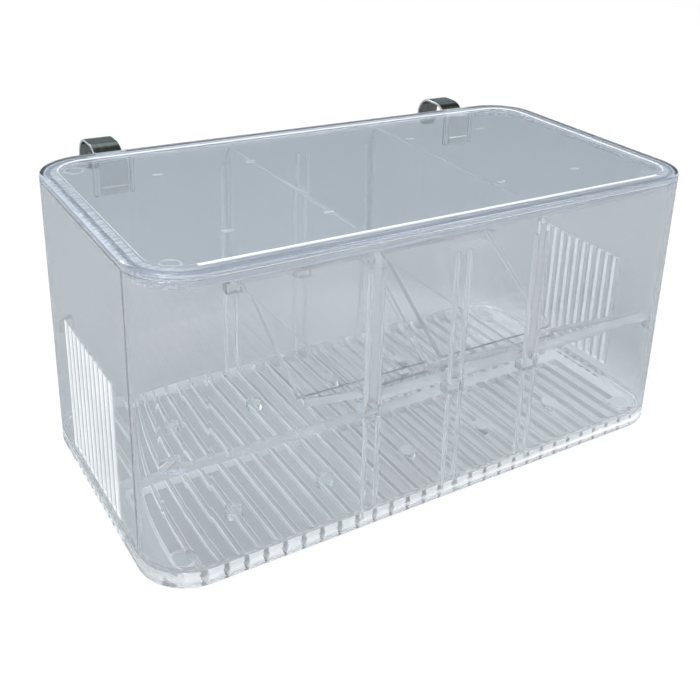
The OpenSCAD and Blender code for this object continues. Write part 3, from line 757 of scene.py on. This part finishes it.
# Side view of the strip as one path of (y, z): up the inner leg, over the rim, up and over the
# glass gap and down the outer leg
def hookPath(s, p):
    t = s["thick"] / 2
    c = s["small"] + t
    y0, yb, r = s["innerY"] + t, s["back"] - t, s["bend"] - t
    turnZ = s["top"] - s["bend"]
    frontBend = s["front"] + math.sqrt(s["bend"] ** 2 - (s["notch"] - turnZ) ** 2)
    footZ, crossZ, endZ = s["notch"] - s["small"], s["notch"] + t, s["legBottom"] + s["endRadius"]
    meet = math.degrees(math.asin((crossZ - turnZ + p["meetLift"]) / r))
    meetY = frontBend - r * math.cos(math.radians(meet))
    fall = 1 - np.cos(np.linspace(1, p["endStart"], 9)[1:] * math.pi / 2)
    return np.concatenate([
        leg(y0, s["innerBottom"], footZ - p["footGap"], 10), arc(y0 + c, footZ, c, 180, 90, 6),
        [[y0 + c + p["afterBend"], crossZ]], [[meetY + y, crossZ + z] for y, z in p["blend"]],
        arc(frontBend, turnZ, r, 180 - meet, 90, 20), arc(yb - r, turnZ, r, 90, 0, 16),
        leg(yb, turnZ - p["legGap"], endZ, 6),
        np.stack([np.full(len(fall), yb), s["legBottom"] + s["endRadius"] * fall], 1)])


# The strip's section is a rounded rectangle, carried along the path with its thin side along the
# path's normal; near the outer end its half width follows the corner circles
def makeHook(name, x, body, node, ridgeSteps=24, cornerSteps=4):
    s = hookSizes
    path = hookPath(s, pathSizes)
    step = np.gradient(path, axis=0)
    step /= np.linalg.norm(step, axis=1)[:, None]
    side = np.stack([-step[:, 1], step[:, 0]], 1)
    wide, r = s["width"] / 2, s["endRadius"]
    fromEnd = np.maximum(path[:, 1] - s["legBottom"], 0)
    inEnd = (path[:, 0] > s["back"] - s["thick"]) & (fromEnd < r)
    half = np.where(inEnd, wide - r + np.sqrt(np.maximum(r * r - (r - fromEnd) ** 2, 0)), wide)
    e, t = s["edge"], s["thick"] / 2
    sign = np.repeat([[1, 1], [-1, 1], [-1, -1], [1, -1]], cornerSteps + 1, axis=0)
    turn = np.radians(np.concatenate([np.linspace(k * 90, k * 90 + 90, cornerSteps + 1) for k in range(4)]))
    u = sign[None, :, 0] * (half[:, None] - e) + e * np.cos(turn)[None]
    v = np.broadcast_to(sign[None, :, 1] * (t - e) + e * np.sin(turn)[None], u.shape)
    points = np.stack([x + u, path[:, None, 0] + v * side[:, None, 0],
                       path[:, None, 1] + v * side[:, None, 1]], -1)
    rows, cols = u.shape
    faces = gridFaces(rows, cols).tolist() + [list(range(cols)), list(range((rows - 1) * cols, rows * cols))]
    hook = meshObject(name, points.reshape(-1, 3), faces)
    faceOut(hook)
    place = [[x, s["innerY"] + s["ridgeSink"], s["ridge"]], [0, 1, 0], [0, 0, 1], [1, 0, 0]]
    reach = wide - s["ridgeSpare"]
    combine(hook, prisms("ridge", disc(s["ridgeRadius"], ridgeSteps), [place], -reach, reach), "UNION")
    addMaterials(hook, [hookSteel])
    settleNormals(hook, sharpDeg=40)
    finishPiece(hook, body, node)


makeHook("rim_hook_left", -hookSizes["x"], "hook_left_body", "hook_left")
makeHook("rim_hook_right", hookSizes["x"], "hook_right_body", "hook_right")
print("hooks ready")

# Stage, light and camera

stageLook = dict(size=6.0, floorLevel=-0.0004, floorColour=(0.86, 0.86, 0.86), floorRough=0.9,
                 whiteShare=0.82, seenDark=(0.235, 0.275, 0.305), seenLight=(0.345, 0.39, 0.425),
                 seenFar=(0.30, 0.335, 0.365), roomScale=2.5, roomDetail=1,
                 seenLeft=(0.305, 0.34, 0.365), seenRight=(0.58, 0.61, 0.63),
                 poolSpan=(-0.08, 0.08), poolEdge=(0.105, 0.135), level=0.95, inside=1.8,
                 ceiling=(0.95, 1.03, 1.15), ceilingSpan=(0.5, 0.68), flag=(0.08, 0.085, 0.08),
                 flagSide=(0.56, 0.0, 0.83), flagSpan=(0.86, 0.91), band=(0.98, 1.04, 1.12),
                 bandSpan=(0.17, 0.11), bandStart=(0.6, 1.0))
lampLook = [dict(name="keyLamp", place=(-0.7, -0.35, 1.0), size=0.45, power=9),
            dict(name="fillLamp", place=(0.75, -0.5, 1.0), size=0.5, power=5),
            dict(name="rimLamp", place=(-0.46, 0.95, 0.66), size=0.16, power=1.2)]


# Gives the kinds of ray, where the backdrop is bright (1 for camera rays and after a matt surface, 0 in
# reflections and through plastic, which see blue-grey) and its level, raised behind clear walls
def whiteFactor(tree, s):
    rays = tree.nodes.new("ShaderNodeLightPath").outputs
    met = calculate(tree, "GREATER_THAN", rays["Diffuse Depth"], 0.5)
    white = calculate(tree, "MAXIMUM", rays["Is Camera Ray"], met)
    return rays, white, spread(tree, rays["Is Transmission Ray"], (0, 1), (s["level"], s["inside"]))


# The length or the dot product of a vector
def measure(tree, operation, vector, other=None):
    node = tree.nodes.new("ShaderNodeVectorMath")
    node.operation = operation
    tree.links.new(vector, node.inputs[0])
    if other:
        node.inputs[1].default_value = other
    return node.outputs["Value"]


# White to the camera; reflections and plastic see a blue-grey floor with a pool of light under the
# part that brightens towards the right, and a light band far away
def makeFloor(s):
    half, level = s["size"] / 2 / mm, s["floorLevel"] / mm
    corners = [[-half, -half, level], [half, -half, level], [half, half, level], [-half, half, level]]
    floor = meshObject("floor", corners, [[0, 1, 2, 3]])
    material, tree, plain = newMaterial("paleFloor")
    plain.inputs["Base Color"].default_value = (*s["floorColour"], 1)
    plain.inputs["Roughness"].default_value = s["floorRough"]
    plain.inputs["Specular IOR Level"].default_value = 0.0
    rays, white, light = whiteFactor(tree, s)
    lit = colourMix(tree, rays["Is Camera Ray"], light, (1.0, 1.0, 1.0))
    place = tree.nodes.new("ShaderNodeTexCoord").outputs["Object"]
    across = spread(tree, axisOf(tree, place, "X"), s["poolSpan"])
    pool = colourMix(tree, across, s["seenLeft"], s["seenRight"])
    reach = measure(tree, "LENGTH", place)
    near = colourMix(tree, spread(tree, reach, s["poolEdge"]), pool, s["seenFar"])
    seenFloor = colourMix(tree, spread(tree, reach, s["bandStart"]), near, s["band"])
    glow = tree.nodes.new("ShaderNodeEmission")
    tree.links.new(colourMix(tree, white, seenFloor, lit), glow.inputs["Color"])
    seen = calculate(tree, "MAXIMUM", rays["Is Camera Ray"], rays["Is Glossy Ray"])
    both = calculate(tree, "MAXIMUM", seen, rays["Is Transmission Ray"])
    mix = tree.nodes.new("ShaderNodeMixShader")
    tree.links.new(calculate(tree, "MULTIPLY", both, s["whiteShare"]), mix.inputs["Fac"])
    tree.links.new(plain.outputs[0], mix.inputs[1])
    tree.links.new(glow.outputs[0], mix.inputs[2])
    tree.links.new(mix.outputs[0], tree.nodes["Material Output"].inputs["Surface"])
    addMaterials(floor, [material])


# The backdrop: white to the camera, plain soft light to the object. Reflections and plastic see a
# blue-grey room with a bright ceiling, a dark patch in it and a light band at the horizon.
def makeWorld(s):
    world = bpy.data.worlds.new("studio")
    bpy.context.scene.world = world
    world.use_nodes = True
    tree = world.node_tree
    way = tree.nodes.new("ShaderNodeTexCoord").outputs["Generated"]
    up = axisOf(tree, way, "Z")
    rays, white, light = whiteFactor(tree, s)
    wall = colourMix(tree, noise(tree, way, s["roomScale"], s["roomDetail"]), s["seenDark"], s["seenLight"])
    dome = colourMix(tree, spread(tree, up, s["ceilingSpan"]), wall, s["ceiling"])
    toward = measure(tree, "DOT_PRODUCT", way, s["flagSide"])
    dome = colourMix(tree, spread(tree, toward, s["flagSpan"]), dome, s["flag"])
    seen = colourMix(tree, spread(tree, up, s["bandSpan"]), dome, s["band"])
    every = colourMix(tree, white, seen, light)
    background = tree.nodes["Background"]
    tree.links.new(colourMix(tree, rays["Is Camera Ray"], every, (1.0, 1.0, 1.0)), background.inputs["Color"])


def makeLamps(lamps, aim=(0, 0, 0.05)):
    for s in lamps:
        light = bpy.data.lights.new(s["name"], "AREA")
        light.size = s["size"]
        light.energy = s["power"]
        lamp = bpy.data.objects.new(s["name"], light)
        lamp.location = s["place"]
        lamp.rotation_euler = (Vector(aim) - lamp.location).to_track_quat("-Z", "Y").to_euler()
        bpy.context.scene.collection.objects.link(lamp)


# The camera of the photograph: position in metres, angles in degrees, lens for a 36 mm sensor
cameraLook = dict(place=(-0.1749, -0.2746, 0.2069), azimuth=-34.695, elevation=21.641, roll=3.02, lens=50.816,
                  sensor=36, shiftX=-0.0826, shiftY=-0.1696, clipNear=0.01, clipFar=20)


def makeCamera(s):
    a, e, r = (math.radians(s[k]) for k in ("azimuth", "elevation", "roll"))
    back = Vector((math.sin(a) * math.cos(e), -math.cos(a) * math.cos(e), math.sin(e)))
    right = Vector((0, 0, 1)).cross(back).normalized()
    up = back.cross(right)
    right, up = math.cos(r) * right + math.sin(r) * up, -math.sin(r) * right + math.cos(r) * up
    data = bpy.data.cameras.new("camera")
    data.lens, data.sensor_width = s["lens"], s["sensor"]
    data.shift_x, data.shift_y = s["shiftX"], s["shiftY"]
    data.clip_start, data.clip_end = s["clipNear"], s["clipFar"]
    camera = bpy.data.objects.new("camera", data)
    basis = Matrix((right, up, back)).transposed().to_4x4()
    camera.matrix_world = Matrix.Translation(Vector(s["place"])) @ basis
    bpy.context.scene.collection.objects.link(camera)
    bpy.context.scene.camera = camera


makeFloor(stageLook)
makeWorld(stageLook)
makeLamps(lampLook)
makeCamera(cameraLook)
bpy.context.scene.view_settings.view_transform = "Standard"
# Light is followed through many walls of clear plastic
bounces = bpy.context.scene.cycles
bounces.max_bounces = bounces.transmission_bounces = 48
bounces.glossy_bounces = 36
bounces.diffuse_bounces = 8
bounces.sample_clamp_indirect = 8
print("stage ready")
